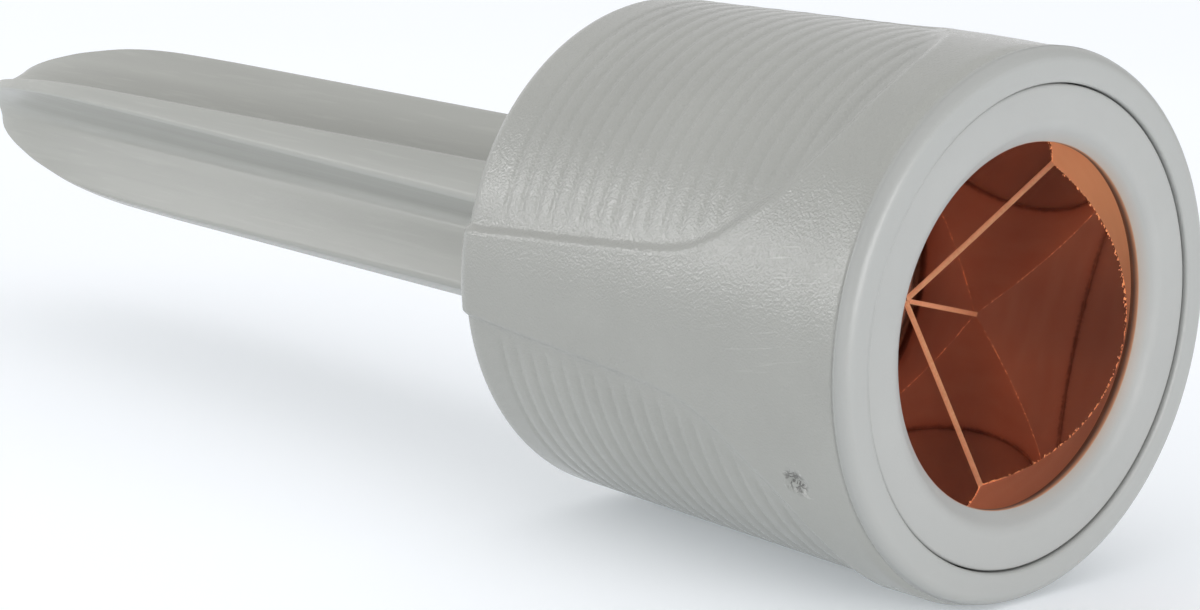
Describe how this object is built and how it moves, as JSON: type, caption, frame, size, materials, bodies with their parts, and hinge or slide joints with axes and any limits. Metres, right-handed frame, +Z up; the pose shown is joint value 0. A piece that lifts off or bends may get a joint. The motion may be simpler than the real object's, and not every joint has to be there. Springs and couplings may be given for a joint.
{
  "type": "survey prism",
  "caption": "Hand-held survey reflector: copper-backed glass corner cube in a round grey moulded barrel with ribbed finger grips and a cross-shaped plug stem.",
  "frame": {"origin": "centre of the barrel's flat rear seating face, on the barrel's axis, where the stem leaves it", "axes": "+Y along the barrel's axis from the glass towards the stem's tip, so the reflector looks towards -Y; +Z up, with one raised band between grips pointing to -X"},
  "size_m": [0.0367, 0.118, 0.0366],
  "materials": {
    "barrel_plastic": "fine spark-eroded texture, satin",
    "bezel_plastic": "smooth matte",
    "stem_plastic": "semi-gloss with lengthwise draw marks",
    "optical_glass": "polished",
    "copper_mirror": "deposited copper mirror, seen through the glass",
    "cup_plastic": "matte black",
    "pad_rubber": "matte",
    "seal_rubber": "matte black",
    "spring_steel": "rolled strip",
    "screw_steel": "zinc plated"
  },
  "bodies": {
    "root": {"barrel_shell": "barrel_plastic", "bezel_ring": "bezel_plastic", "bezel_seal": "seal_rubber", "front_gasket": "seal_rubber", "prism_glass": "optical_glass", "copper_coating": "copper_mirror", "prism_cup": "cup_plastic", "facet_pads": "pad_rubber", "wave_spring": "spring_steel", "stem": "stem_plastic", "stem_seal": "seal_rubber", "stem_screws": "screw_steel"}
  },
  "joints": []
}
